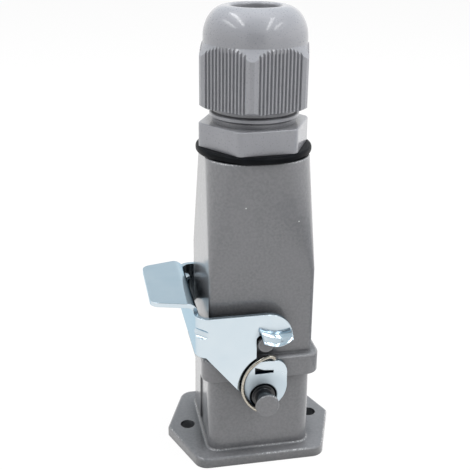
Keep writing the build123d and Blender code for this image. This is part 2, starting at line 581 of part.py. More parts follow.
# ground contact of the pin side: washer plate under the ground screw
with BuildPart() as male_ground_contact:
    with BuildSketch(Plane.XY.offset(MALE_SEAT_Z - GROUND_T)):
        with Locations((-POST_X, -POST_X)):
            Circle(SCREW_HEAD_R + 0.15)
            Circle(SCREW_R + 0.1, mode=Mode.SUBTRACT)
    extrude(amount=GROUND_T)
male_ground_contact.part.label = "male_ground_contact"
export_step(male_ground_contact.part, "parts/male_ground_contact.step")

# rubber washer between hood and gland hexagon
with BuildPart() as gland_washer:
    with BuildSketch(Plane.XZ):
        with Locations(((WASHER_R + GLAND_STUB_R + 0.1) / 2, HOOD_TOP_Z + WASHER_T / 2)):
            Rectangle(WASHER_R - GLAND_STUB_R - 0.1, WASHER_T)
    revolve(axis=Axis.Z)
    rim = gland_washer.edges().filter_by(GeomType.CIRCLE).filter_by(lambda e: e.radius > WASHER_R - 0.1)
    fillet(rim, 0.6)
gland_washer.part.label = "gland_washer"
export_step(gland_washer.part, "parts/gland_washer.step")


def hexagon_profile(turn):
    """Plane and flat-to-flat hexagon helper: angle of a corner from the front, towards the left."""
    return 270.0 + turn


# gland body: threaded stub, hexagon, ridged neck, cage of fingers
with BuildPart() as gland_body:
    with BuildSketch(Plane.XY.offset(HEX_BOTTOM_Z)):
        RegularPolygon(radius=GLAND_HEX_AF / 2, side_count=6, major_radius=False,
                       rotation=hexagon_profile(HEX_TURN))
    extrude(amount=HEX_TOP_Z - HEX_BOTTOM_Z)
    fillet(gland_body.edges().filter_by(Axis.Z), 1.6)
    fillet(gland_body.faces().sort_by(Axis.Z)[-1].edges(), 0.25)
    with BuildSketch(Plane.XZ):
        with BuildLine():
            ridges = [(NECK_ROOT_R, HEX_TOP_Z - 0.1), (NECK_ROOT_R, HEX_TOP_Z + 0.9)]
            z = HEX_TOP_Z + 0.9
            while z + THREAD_PITCH < NECK_TOP_Z:
                ridges += [
                    (NECK_CREST_R - 0.15, z + 0.12 * THREAD_PITCH), (NECK_CREST_R, z + 0.2 * THREAD_PITCH),
                    (NECK_CREST_R, z + 0.5 * THREAD_PITCH), (NECK_CREST_R - 0.15, z + 0.58 * THREAD_PITCH),
                    (NECK_ROOT_R, z + 0.7 * THREAD_PITCH), (NECK_ROOT_R, z + THREAD_PITCH),
                ]
                z += THREAD_PITCH
            Polyline(
                (0, GLAND_STUB_BOTTOM_Z), (GLAND_STUB_R - 0.6, GLAND_STUB_BOTTOM_Z),
                (GLAND_STUB_R, GLAND_STUB_BOTTOM_Z + 0.6), (GLAND_STUB_R, HEX_BOTTOM_Z + 0.1),
                *ridges, (CAGE_OUTER_R, NECK_TOP_Z), (CAGE_OUTER_R, CAGE_TOP_Z - 4.0),
                (CAGE_TIP_R, CAGE_TOP_Z), (0, CAGE_TOP_Z), close=True,
            )
        make_face()
    revolve(axis=Axis.Z)
    # cable passage, seal seat inside the cage
    with BuildSketch(Plane.XY.offset(GLAND_STUB_BOTTOM_Z)):
        Circle(GLAND_BORE_R)
    extrude(amount=CAGE_TOP_Z - GLAND_STUB_BOTTOM_Z, mode=Mode.SUBTRACT)
    with BuildSketch(Plane.XY.offset(CAGE_FLOOR_Z)):
        Circle(CAGE_BORE_R)
    extrude(amount=CAGE_TOP_Z - CAGE_FLOOR_Z, mode=Mode.SUBTRACT)
    # slits between the fingers
    with BuildSketch(Plane.XY.offset(CAGE_TOP_Z)):
        with PolarLocations((CAGE_BORE_R + CAGE_OUTER_R) / 2, FINGERS):
            Rectangle(CAGE_OUTER_R - CAGE_BORE_R + 2, 0.7)
    extrude(amount=-(CAGE_TOP_Z - NECK_TOP_Z - 0.6), mode=Mode.SUBTRACT)
gland_body.part.label = "gland_body"
export_step(gland_body.part, "parts/gland_body.step")

# rubber seal inside the finger cage
with BuildPart() as gland_seal:
    with BuildSketch(Plane.XZ):
        with BuildLine():
            Polyline(
                (SEAL_BORE_R, SEAL_BOTTOM_Z), (SEAL_R, SEAL_BOTTOM_Z), (SEAL_R, SEAL_TOP_Z - 0.8),
                (SEAL_R - 0.8, SEAL_TOP_Z), (SEAL_BORE_R, SEAL_TOP_Z), close=True,
            )
        make_face()
    revolve(axis=Axis.Z)
gland_seal.part.label = "gland_seal"
export_step(gland_seal.part, "parts/gland_seal.step")


# cap nut: ribbed hexagon skirt and dome
def ribbed_hexagon():
    """Corner points of one sixth of the skirt outline, with the fine grooves in its flat."""
    flat = HEX_AF / 2
    half_w = flat * math.tan(math.radians(30))
    trim = math.sqrt(HEX_TRIM_R ** 2 - flat ** 2)
    usable = 2 * (half_w - NUT_PILLAR_W / 2)
    pitch = usable / NUT_GROOVES
    outline = []
    for side in range(6):
        a = math.radians(hexagon_profile(NUT_TURN) + 30 + 60 * side)
        normal = (math.cos(a), math.sin(a))
        along = (-math.sin(a), math.cos(a))

        def place(t, n):
            return (normal[0] * n + along[0] * t, normal[1] * n + along[1] * t)

        outline.append(place(-trim, flat))
        for k in range(NUT_GROOVES):
            mid = -usable / 2 + pitch * (k + 0.5)
            outline += [
                place(mid - pitch * 0.34, flat), place(mid - pitch * 0.14, flat - NUT_GROOVE_D),
                place(mid + pitch * 0.14, flat - NUT_GROOVE_D), place(mid + pitch * 0.34, flat),
            ]
        outline.append(place(trim, flat))
    return outline


with BuildPart() as gland_nut:
    with BuildSketch(Plane.XY.offset(NUT_BOTTOM_Z)):
        with BuildLine():
            Polyline(*ribbed_hexagon(), close=True)
        make_face()
    extrude(amount=NUT_FLAT_TOP_Z + 1.5 - NUT_BOTTOM_Z)
    slope = (NUT_FLAT_TOP_Z - NUT_CORNER_TOP_Z) / (HEX_TRIM_R - DOME_R)
    with BuildSketch(Plane.XZ):
        with BuildLine():
            Polyline(
                (0, NUT_BOTTOM_Z), (HEX_TRIM_R - 0.7, NUT_BOTTOM_Z), (HEX_TRIM_R + 0.1, NUT_BOTTOM_Z + 0.6),
                (HEX_TRIM_R + 0.1, NUT_CORNER_TOP_Z - 0.1 * slope), (DOME_R, NUT_FLAT_TOP_Z),
                (0, NUT_FLAT_TOP_Z), close=True,
            )
        make_face()
    revolve(axis=Axis.Z, mode=Mode.INTERSECT)
    # dome
    with BuildSketch(Plane.XZ):
        with BuildLine():
            Polyline((0, NUT_FLAT_TOP_Z - 1.0), (DOME_R, NUT_FLAT_TOP_Z - 1.0), (DOME_R, NUT_FLAT_TOP_Z + 0.9))
            EllipticalCenterArc(
                (ENTRY_R + 0.7, NUT_FLAT_TOP_Z + 0.9), DOME_R - ENTRY_R - 0.7,
                DOME_TOP_Z - NUT_FLAT_TOP_Z - 0.9, start_angle=0, arc_size=90,
            )
            Polyline((ENTRY_R + 0.7, DOME_TOP_Z), (0, DOME_TOP_Z), (0, NUT_FLAT_TOP_Z - 1.0))
        make_face()
    revolve(axis=Axis.Z)
    # inside: thread bore, cone over the fingers, cable entry
    with BuildSketch(Plane.XZ):
        with BuildLine():
            Polyline(
                (0, NUT_BOTTOM_Z), (NUT_BORE_R + 0.6, NUT_BOTTOM_Z), (NUT_BORE_R, NUT_BOTTOM_Z + 0.6),
                (NUT_BORE_R, NUT_BORE_TOP_Z), *NUT_CONE, (ENTRY_R, NUT_CONE[1][1] + 0.8), (ENTRY_R, DOME_TOP_Z),
                (0, DOME_TOP_Z), close=True,
            )
        make_face()
    revolve(axis=Axis.Z, mode=Mode.SUBTRACT)
    entry = gland_nut.edges().filter_by(GeomType.CIRCLE).filter_by(
        lambda e: abs(e.radius - ENTRY_R) < 0.01 and e.center().Z > DOME_TOP_Z - 0.1
    )
    fillet(entry, 0.6)
gland_nut.part.label = "gland_nut"
export_step(gland_nut.part, "parts/gland_nut.step")


# locking lever: two side plates with hook and dished eye, bridge, handle tab, one sheet
def lever_outline():
    """Closed outline of a side plate seen from the front, as a sketch in the XZ plane."""
    with BuildSketch(Plane.XZ) as shape:
        with BuildLine():
            def on_arc(cx, cz, r, deg):
                return (cx + r * math.cos(math.radians(deg)), cz + r * math.sin(math.radians(deg)))

            def arc(cx, cz, r, d0, d1):
                mid = on_arc(cx, cz, r, (d0 + d1) / 2)
                ThreePointArc(on_arc(cx, cz, r, d0), mid, on_arc(cx, cz, r, d1))

            eye_left = on_arc(0, PIVOT_Z, EYE_R, 176)
            Polyline((BRIDGE_X, PLATE_TOP_Z), (BRIDGE_X, BRIDGE_BOTTOM_Z),
                     (BRIDGE_X + 2.1, BRIDGE_BOTTOM_Z), eye_left)
            arc(0, PIVOT_Z, EYE_R, 176, 336)
            ThreePointArc(
                on_arc(0, PIVOT_Z, EYE_R, 336), (EYE_SIDE_X - 0.43, PIVOT_Z + 0.15),
                (EYE_SIDE_X, PIVOT_Z + 3.2),
            )
            Line((EYE_SIDE_X, PIVOT_Z + 3.2), (EYE_SIDE_X, PIVOT_Z + 5.6))
            ThreePointArc(
                (EYE_SIDE_X, PIVOT_Z + 5.6), (EYE_SIDE_X - 0.64, PIVOT_Z + 7.6),
                (EYE_SIDE_X - 1.98, PIVOT_Z + 8.6),
            )
            slot_end = on_arc(0, PIVOT_Z, HOOK_R, math.degrees(math.acos((SLOT_X + 0.6) / HOOK_R)))
            Polyline((EYE_SIDE_X - 1.98, PIVOT_Z + 8.6), (-0.5, PIVOT_Z + 8.65), (SLOT_X, PIVOT_Z + 9.6),
                     (SLOT_X, slot_end[1] - 0.6), slot_end)
            hook0 = math.degrees(math.acos((SLOT_X + 0.6) / HOOK_R))
            hook1 = math.degrees(math.acos(HOOK_TIP_X / HOOK_R))
            arc(0, PIVOT_Z, HOOK_R, hook0, hook1)
            tip = on_arc(0, PIVOT_Z, HOOK_R, hook1)
            top_r = 5.75
            Line(tip, on_arc(0.4, PLATE_TOP_Z - top_r, top_r, 8))
            arc(0.4, PLATE_TOP_Z - top_r, top_r, 8, 90)
            Line((0.4, PLATE_TOP_Z), (BRIDGE_X, PLATE_TOP_Z))
        make_face()
        # tapered window above the eye
        with BuildLine():
            Polyline(
                (-2.0, PIVOT_Z + 5.6), (2.2, PIVOT_Z + 5.7), (2.2, PIVOT_Z + 6.35),
                (0, PIVOT_Z + 6.5), (-2.0, PIVOT_Z + 7.25), close=True,
            )
        make_face(mode=Mode.SUBTRACT)
    return shape.sketch


outline = lever_outline()
with BuildPart(mode=Mode.PRIVATE) as dish:
    plane = Plane(origin=(DISH_X, 0, DISH_Z), x_dir=(1, 0, 0), z_dir=(0, 0, 1))
    half = SHEET * math.tan(math.atan2(EYE_STEP, DISH_RUN) / 2)
    with BuildSketch(plane):
        with BuildLine():
            Polyline(
                (0, -EYE_INNER_Y), (DISH_FLOOR_R + half, -EYE_INNER_Y),
                (DISH_FLOOR_R + DISH_RUN + half, -PLATE_INNER_Y), (DISH_FLOOR_R + DISH_RUN + half, -LEVER_Y),
                (DISH_FLOOR_R + DISH_RUN, -LEVER_Y), (DISH_FLOOR_R, -EYE_Y), (0, -EYE_Y), close=True,
            )
        make_face()
    revolve(axis=Axis((DISH_X, 0, DISH_Z), (0, 1, 0)))

# hook lip at the front: the sheet flares outwards in a spout over the locking peg
# stations from left to right: x at the sheet, x at the rim, heights of both over the hook
LIP_STATIONS = (
    (-1.6, -0.6, 1.9, -0.95), (0.1, 0.5, 1.3, -1.35), (2.3, 2.4, 0.75, -1.7),
    (4.1, 4.1, 0.75, -1.25), (5.55, 5.6, 1.0, -0.3),
)
LIP_OUT = 2.4
with BuildPart(mode=Mode.PRIVATE) as hook_lip:
    for root_x, edge_x, top, bottom in LIP_STATIONS:
        lean = math.hypot(edge_x - root_x, LIP_OUT)
        ux, uy = (edge_x - root_x) / lean, -LIP_OUT / lean
        drop = top - bottom
        zt = PIVOT_Z + HOOK_R + top
        section = Plane(origin=(root_x, -LEVER_Y, zt), x_dir=(ux, uy, 0), z_dir=(uy, -ux, 0))
        with BuildSketch(section):
            with BuildLine():
                Spline((-0.4, 0.05), (0.1, 0), (0.9, -0.1 * drop), (1.5, -0.34 * drop),
                       (1.95, -0.72 * drop), (2.4, -0.95 * drop))
                ThreePointArc((2.4, -0.95 * drop), (2.35, -1.02 * drop), (2.0, -1.0 * drop))
                Polyline((2.0, -1.0 * drop), (1.55, -0.72 * drop), (1.1, -0.42 * drop), (0.5, -0.3 * drop),
                         (-0.4, -0.27 * drop), (-0.4, 0.05))
            make_face()
    loft()
    with BuildSketch(Plane.XZ.offset(LIP_Y)):
        with Locations((0, PIVOT_Z)):
            Circle(HOOK_R)
    extrude(amount=-(LIP_Y - EYE_INNER_Y), mode=Mode.SUBTRACT)

with BuildPart() as locking_lever:
    # side plates and bridge, folded with rounded corners
    with BuildSketch(Plane.XY.offset(PLATE_FOOT_Z)):
        with Locations(((BRIDGE_X + 8) / 2, 0)):
            Rectangle(8 - BRIDGE_X, 2 * LEVER_Y)
    extrude(amount=PLATE_TOP_Z - PLATE_FOOT_Z)
    folds = locking_lever.edges().filter_by(Axis.Z).filter_by(lambda e: e.center().X < BRIDGE_X + 0.1)
    fillet(folds, BEND_R)
    with BuildSketch(Plane.XY.offset(PLATE_FOOT_Z)):
        with BuildLine():
            Polyline((8, -PLATE_INNER_Y), (BRIDGE_X + BEND_R, -PLATE_INNER_Y))
            RadiusArc((BRIDGE_X + BEND_R, -PLATE_INNER_Y), (BRIDGE_X + SHEET, -LEVER_Y + BEND_R), BEND_R - SHEET)
            Line((BRIDGE_X + SHEET, -LEVER_Y + BEND_R), (BRIDGE_X + SHEET, LEVER_Y - BEND_R))
            RadiusArc((BRIDGE_X + SHEET, LEVER_Y - BEND_R), (BRIDGE_X + BEND_R, PLATE_INNER_Y), BEND_R - SHEET)
            Polyline((BRIDGE_X + BEND_R, PLATE_INNER_Y), (8, PLATE_INNER_Y), (8, -PLATE_INNER_Y))
        make_face()
    extrude(amount=PLATE_TOP_Z - PLATE_FOOT_Z, mode=Mode.SUBTRACT)
    extrude(outline, amount=LEVER_Y + 1, both=True, mode=Mode.INTERSECT)
    # the eyes are dished towards the housing
    with BuildSketch(Plane.XZ.offset(-LEVER_Y - 1)):
        with Locations((DISH_X, DISH_Z)):
            Circle(DISH_FLOOR_R + DISH_RUN + half / 2)
    extrude(amount=2 * LEVER_Y + 2, mode=Mode.SUBTRACT)
    eye = dish.part & extrude(outline, amount=LEVER_Y + 1, both=True, mode=Mode.PRIVATE)
    add(eye)
    add(mirror(eye, about=Plane.XZ, mode=Mode.PRIVATE))
    with BuildSketch(Plane.XZ.offset(-LEVER_Y - 1)):
        with Locations((0, PIVOT_Z)):
            Circle(EYE_HOLE_R)
    extrude(amount=2 * LEVER_Y + 2, mode=Mode.SUBTRACT)
    hole_rims = locking_lever.edges().filter_by(GeomType.CIRCLE).filter_by(
        lambda e: abs(e.radius - EYE_HOLE_R) < 0.01 and abs(abs(e.center().Y) - EYE_Y) < 0.01
    )
    fillet(hole_rims, SHEET / 2)
    # neck and handle tab
    with BuildSketch(Plane.XZ.offset(-NECK_HALF)):
        with BuildLine():
            x0 = BRIDGE_X + SHEET
            xc = x0 - TAB_BEND_R
            zc = TAB_Z - TAB_BEND_R
            Polyline((x0, PLATE_TOP_Z - 1.5), (x0, zc))
            RadiusArc((x0, zc), (xc, TAB_Z), -TAB_BEND_R)
            Polyline((xc, TAB_Z), (TAB_END_X, TAB_Z), (TAB_END_X, TAB_Z - SHEET), (xc, TAB_Z - SHEET))
            RadiusArc((xc, TAB_Z - SHEET), (BRIDGE_X, zc), TAB_BEND_R - SHEET)
            Polyline((BRIDGE_X, zc), (BRIDGE_X, PLATE_TOP_Z - 1.5), (x0, PLATE_TOP_Z - 1.5))
        make_face()
    extrude(amount=2 * NECK_HALF)
    with BuildSketch(Plane.XY.offset(TAB_Z - SHEET - 0.5)) as trim:
        for side in (-1, 1):
            with BuildLine():
                Polyline(
                    (TAB_END_X - 1, side * (NECK_HALF + 1.4)), (xc, side * (NECK_HALF + 1.4)),
                    (xc, side * NECK_HALF),
                    (TAB_END_X, side * TAB_END_HALF), (TAB_END_X - 1, side * TAB_END_HALF), close=True,
                )
            make_face()
    extrude(amount=SHEET + 1, mode=Mode.SUBTRACT)
    tab_corners = locking_lever.edges().filter_by(Axis.Z).filter_by(
        lambda e: e.center().X < TAB_END_X + 0.2
    )
    fillet(tab_corners, 2.2)
    # hook lips, front and back
    add(hook_lip.part)
    add(mirror(hook_lip.part, about=Plane.XZ, mode=Mode.PRIVATE))
    # pressed beads across the two folds
    for side in (-1, 1):
        across = Plane(
            origin=(BRIDGE_X + BEND_R, side * (LEVER_Y - BEND_R), DART_Z),
            x_dir=(-1, side, 0), z_dir=(side, 1, 0),
        )
        with BuildPart(mode=Mode.PRIVATE) as swell:
            with BuildSketch(across):
                with Locations((BEND_R + 0.55, 0)):
                    Circle(DART_R + 0.85)
            extrude(amount=BEND_R + 1, both=True)
            with BuildSketch(Plane.XY.offset(DART_Z - 5)):
                with Locations((BRIDGE_X + 6, 0)):
                    RectangleRounded(12, 2 * LEVER_Y, BEND_R)
            extrude(amount=10, mode=Mode.INTERSECT)
        add(swell.part)
        with BuildSketch(across):
            with Locations((BEND_R + 0.55, 0)):
                Circle(DART_R)
        extrude(amount=BEND_R + 1, both=True, mode=Mode.SUBTRACT)
locking_lever.part.label = "locking_lever"
export_step(locking_lever.part, "parts/locking_lever.step")


# spring rings: round wire bowed around the eye, hooked into its top notch and under its edge
SPRING_HOOK_R = 1.3
SPRING_TURN_R = 0.5
SPRING_TOP = 104
SPRING_BEND = 62
SPRING_END = 256


def spring_ring(side):
    """One bowed wire; side is -1 at the front and 1 at the back."""
    y = side * (EYE_Y + SPRING_WIRE_R)
    inward = -side

    def bow(deg):
        a = math.radians(deg)
        return (SPRING_X + SPRING_R * math.cos(a), y, SPRING_Z + SPRING_R * math.sin(a))

    def turn(start, heading):
        """Quarter turn from a heading in the XZ plane towards the housing."""
        hx, hz = math.cos(math.radians(heading)), math.sin(math.radians(heading))
        r = SPRING_TURN_R
        s, c = r * math.sin(math.pi / 4), r * (1 - math.cos(math.pi / 4))
        mid = (start[0] + hx * s, y + inward * c, start[2] + hz * s)
        end = (start[0] + hx * r, y + inward * r, start[2] + hz * r)
        ThreePointArc(start, mid, end)
        return end

    top = bow(SPRING_TOP)
    # bend at the top, then inwards over the edge of the eye
    away = math.radians(SPRING_TOP)
    centre = (top[0] - SPRING_HOOK_R * math.cos(away), top[2] - SPRING_HOOK_R * math.sin(away))

    def hook(deg):
        a = math.radians(deg)
        return (centre[0] + SPRING_HOOK_R * math.cos(a), y, centre[1] + SPRING_HOOK_R * math.sin(a))

    with BuildPart() as ring:
        with BuildLine() as path:
            ThreePointArc(bow(SPRING_END), bow((SPRING_END + SPRING_TOP) / 2), top)
            ThreePointArc(top, hook(SPRING_TOP - SPRING_BEND / 2), hook(SPRING_TOP - SPRING_BEND))
            in_notch = turn(hook(SPRING_TOP - SPRING_BEND), SPRING_TOP - SPRING_BEND - 90)
            Line(in_notch, (in_notch[0], side * (EYE_INNER_Y + 0.15), in_notch[2]))
            under = turn(bow(SPRING_END), SPRING_END + 90)
            Line(under, (under[0], side * (EYE_INNER_Y - 0.5), under[2]))
        wire = path.wire()
        with BuildSketch(Plane(origin=wire @ 0, z_dir=wire % 0)):
            Circle(SPRING_WIRE_R)
        sweep(path=wire)
    return ring


front_spring_ring = spring_ring(-1)
front_spring_ring.part.label = "front_spring_ring"
export_step(front_spring_ring.part, "parts/front_spring_ring.step")

rear_spring_ring = spring_ring(1)
rear_spring_ring.part.label = "rear_spring_ring"
export_step(rear_spring_ring.part, "parts/rear_spring_ring.step")
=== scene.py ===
"""Looks of the heavy duty rectangular connector: powder coated housings, plated lever, nylon gland."""

import json
import math

import bpy
from mathutils import Matrix, Vector


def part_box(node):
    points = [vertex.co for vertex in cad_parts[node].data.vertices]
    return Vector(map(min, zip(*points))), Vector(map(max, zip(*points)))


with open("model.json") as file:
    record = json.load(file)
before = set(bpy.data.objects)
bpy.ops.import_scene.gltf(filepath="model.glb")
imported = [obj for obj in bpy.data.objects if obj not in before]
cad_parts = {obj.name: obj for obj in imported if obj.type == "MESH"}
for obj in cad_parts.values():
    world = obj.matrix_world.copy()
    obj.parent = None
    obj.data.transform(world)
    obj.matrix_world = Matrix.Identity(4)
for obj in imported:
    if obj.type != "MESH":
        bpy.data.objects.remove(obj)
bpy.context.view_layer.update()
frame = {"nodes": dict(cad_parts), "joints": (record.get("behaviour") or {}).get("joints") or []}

MM = 0.001

# sizes of the part that its finishes follow, in metres
LEVER_HINGE = next(joint for joint in frame["joints"] if joint["name"] == "lever_hinge")
PIVOT_Z = LEVER_HINGE["pos_m"][2]
PIVOT_END_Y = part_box("base_housing")[1][1]
PIVOT_R = 2.65 * MM
PIVOT_ROUND = 0.25 * MM
EYE_HOLE_R = 2.7 * MM
EYE_RIM_SHADE_WIDTH = 0.3 * MM
EYE_DULL_R = 5.5 * MM
EYE_BRIGHT_R = 8.5 * MM
PANEL_HOLE_X = 15.0 * MM
MASK_EDGE = 0.1 * MM

# camera: place and lens as fitted to the photograph
AIM = Vector((-3.842, 0.0, 50.701)) * MM
DISTANCE = 187.918 * MM
AZIMUTH = math.radians(-11.388)
ELEVATION = math.radians(21.79)
ROLL = math.radians(0.549)
FOCAL_LENGTH_PX = 845.284
IMAGE_PX = 470
SENSOR_MM = 36.0
NEAREST_SEEN = 5 * MM
FARTHEST_SEEN = 20.0


def make_camera():
    """The camera of the main picture."""
    data = bpy.data.cameras.new("camera")
    data.sensor_fit = "HORIZONTAL"
    data.sensor_width = SENSOR_MM
    data.lens = FOCAL_LENGTH_PX / IMAGE_PX * SENSOR_MM
    data.clip_start = NEAREST_SEEN
    data.clip_end = FARTHEST_SEEN
    camera = bpy.data.objects.new("camera", data)
    back = Vector((
        math.sin(AZIMUTH) * math.cos(ELEVATION),
        -math.cos(AZIMUTH) * math.cos(ELEVATION),
        math.sin(ELEVATION),
    ))
    turn = (-back).to_track_quat("-Z", "Y").to_matrix().to_4x4()
    place = Matrix.Translation(AIM + back * DISTANCE)
    camera.matrix_world = place @ turn @ Matrix.Rotation(ROLL, 4, "Z")
    bpy.context.scene.collection.objects.link(camera)
    bpy.context.scene.camera = camera


make_camera()


# materials: how they are built
MIX_FIRST, MIX_SECOND, MIX_RESULT = 6, 7, 2  # colour sockets of the Mix node


def linear(code):
    """An sRGB hex colour as linear RGBA."""
    channels = [int(code[i:i + 2], 16) / 255 for i in (1, 3, 5)]
    return [c / 12.92 if c <= 0.04045 else ((c + 0.055) / 1.055) ** 2.4 for c in channels] + [1.0]


def node(tree, kind, inputs, output=0, **settings):
    """Adds a shader node and gives one of its outputs; an input is a value, a hex colour or an output."""
    made = tree.nodes.new("ShaderNode" + kind)
    for name, value in settings.items():
        setattr(made, name, value)
    for socket, value in inputs.items():
        if isinstance(value, bpy.types.NodeSocket):
            tree.links.new(value, made.inputs[socket])
        elif isinstance(value, str):
            made.inputs[socket].default_value = linear(value)
        else:
            made.inputs[socket].default_value = value
    return made.outputs[output] if made.outputs else None


def new_material(name, surface, *choices):
    """A material whose shader is built by the function surface."""
    material = bpy.data.materials.new(name)
    material.use_nodes = True
    tree = material.node_tree
    tree.nodes.clear()
    node(tree, "OutputMaterial", {"Surface": surface(tree, *choices)})
    return material


def layered(tree, ground, layers):
    """A ground colour with tones laid over it in turn, each where its mask is 1."""
    colour = ground
    for mask, tone in layers:
        colour = node(tree, "Mix", {"Factor": mask, MIX_FIRST: colour, MIX_SECOND: tone},
                      MIX_RESULT, data_type="RGBA")
    return colour


def marked(tree, marks, dark, light, smoothest, roughest, normal):
    """Shader inputs of a surface on which the same marks set the tone and the gloss."""
    tone = node(tree, "MapRange", {"Value": marks, "From Min": 0.35, "From Max": 0.65})
    gloss = node(tree, "MapRange", {"Value": marks, "From Min": 0.3, "From Max": 0.7,
                                    "To Min": smoothest, "To Max": roughest})
    return {"Base Color": layered(tree, dark, ((tone, light),)), "Roughness": gloss, "Normal": normal}


def painted_corner_shade(tree, reach, closed, open_sky):
    """Mask of painted shade in narrow gaps and holes whose walls are within reach; 0 on open ground."""
    sky = node(tree, "AmbientOcclusion", {"Distance": reach}, "AO", samples=8)
    return node(tree, "MapRange", {"Value": sky, "From Min": closed, "From Max": open_sky,
                                   "To Min": 1.0, "To Max": 0.0})


def from_pivot(tree, place):
    """Distance from the axis of the pivot pegs."""
    across = node(tree, "Mapping", {"Vector": place, "Scale": (1.0, 0.0, 1.0),
                                    "Location": (0.0, 0.0, -PIVOT_Z)})
    return node(tree, "VectorMath", {0: across}, "Value", operation="LENGTH")


def painted_edge_glints(tree, place):
    """Mask of painted glints: light specks along stretches of rounded edges that face half upwards, where
    light from above catches them.
    """
    normal = node(tree, "NewGeometry", {}, "Normal")
    up = node(tree, "SeparateXYZ", {"Vector": normal}, "Z")
    glint_specks = node(tree, "TexNoise", {"Vector": place, "Scale": 1 / (0.35 * MM), "Detail": 3.0,
                                    "Roughness": 0.7})
    stretches = node(tree, "TexNoise", {"Vector": place, "Scale": 1 / (7.0 * MM), "Detail": 1.0})
    off_walls = node(tree, "MapRange", {"Value": up, "From Min": 0.3, "From Max": 0.45})
    off_tops = node(tree, "MapRange", {"Value": up, "From Min": 0.85, "From Max": 0.96,
                                       "To Min": 1.0, "To Max": 0.0})
    glint_specks = node(tree, "MapRange", {"Value": glint_specks, "From Min": 0.52, "From Max": 0.62})
    stretches = node(tree, "MapRange", {"Value": stretches, "From Min": 0.45, "From Max": 0.55})
    glints = off_walls
    for mask in (off_tops, glint_specks, stretches):
        glints = node(tree, "Math", {0: glints, 1: mask}, operation="MULTIPLY")
    return glints


def painted_glint_dots(tree, place):
    """Mask of painted glints: small light dots scattered over the coat, a dot in about one cell of 25."""
    from_middle = node(tree, "TexVoronoi", {"Vector": place, "Scale": 1 / (1.9 * MM)}, "Distance")
    lot = node(tree, "SeparateColor", {"Color": from_middle.node.outputs["Color"]})
    chosen = node(tree, "MapRange", {"Value": lot, "From Min": 0.955, "From Max": 0.96})
    dot = node(tree, "MapRange", {"Value": from_middle, "From Min": 0.05, "From Max": 0.1,
                                  "To Min": 1.0, "To Max": 0.0})
    return node(tree, "Math", {0: chosen, 1: dot}, operation="MULTIPLY")


def painted_shank_shade(tree, place):
    """Mask of painted shade on the pivot pegs behind their round ends."""
    on_peg = node(tree, "MapRange", {"Value": from_pivot(tree, place), "From Min": PIVOT_R + MASK_EDGE,
                                     "From Max": PIVOT_R + 2 * MASK_EDGE, "To Min": 1.0, "To Max": 0.0})
    outwards = node(tree, "SeparateXYZ", {"Vector": place}, "Y")
    outwards = node(tree, "Math", {0: outwards}, operation="ABSOLUTE")
    shank_end = PIVOT_END_Y - PIVOT_ROUND
    behind = node(tree, "MapRange", {"Value": outwards, "From Min": shank_end - MASK_EDGE,
                                     "From Max": shank_end, "To Min": 1.0, "To Max": 0.0})
    return node(tree, "Math", {0: on_peg, 1: behind}, operation="MULTIPLY")


# materials: the finishes
def powder_coated_zinc(tree):
    """Die cast zinc, powder coated grey and baked.

    The eye sees a glossy coat in hammered orange peel over the casting's soft waves. Painted glints
    lie as light specks on rounded edges that face half upwards and as light dots over the coat; painted
    shade darkens the inner corners and the shanks of the pegs.
    """
    place = node(tree, "TexCoord", {}, "Object")
    cloud = node(tree, "TexNoise", {"Vector": place, "Scale": 1 / (9.0 * MM), "Detail": 3.0})
    wave = node(tree, "TexNoise", {"Vector": place, "Scale": 1 / (1.5 * MM), "Detail": 3.0})
    # the finest texture of the coat that shows in the picture, where a pixel is 0.22 mm
    peel = node(tree, "TexNoise", {"Vector": place, "Scale": 1 / (0.55 * MM), "Detail": 2.0})
    # painted glints on upward edges and in dots, painted shade in inner corners and on the peg shanks
    colour = layered(tree, "#626466", (
        (node(tree, "MapRange", {"Value": cloud, "From Min": 0.3, "From Max": 0.7}), "#696a6d"),
        (node(tree, "MapRange", {"Value": peel, "From Min": 0.35, "From Max": 0.65}), "#707073"),
        (painted_edge_glints(tree, place), "#bcbebe"),
        (painted_glint_dots(tree, place), "#c9cbc9"),
        (painted_corner_shade(tree, 6.0 * MM, 0.25, 0.8), "#101216"),
        (painted_shank_shade(tree, place), "#0d1014"),
    ))
    gloss = node(tree, "MapRange", {"Value": peel, "From Min": 0.3, "From Max": 0.7,
                                    "To Min": 0.3, "To Max": 0.42})
    edge = node(tree, "Bevel", {"Radius": 0.25 * MM}, samples=16)
    under = node(tree, "Bump", {"Height": wave, "Distance": 0.16 * MM, "Strength": 0.5, "Normal": edge})
    under = node(tree, "Bump", {"Height": peel, "Distance": 0.05 * MM, "Strength": 0.7, "Normal": under})
    skin = node(tree, "Bump", {"Height": wave, "Distance": 0.035 * MM, "Strength": 0.3, "Normal": edge})
    skin = node(tree, "Bump", {"Height": peel, "Distance": 0.014 * MM, "Strength": 0.5, "Normal": skin})
    return node(tree, "BsdfPrincipled", {
        "Base Color": colour, "Metallic": 0.0, "IOR": 1.5, "Roughness": gloss, "Normal": under,
        "Coat Weight": 0.85, "Coat Roughness": 0.11, "Coat IOR": 1.5, "Coat Normal": skin,
    })


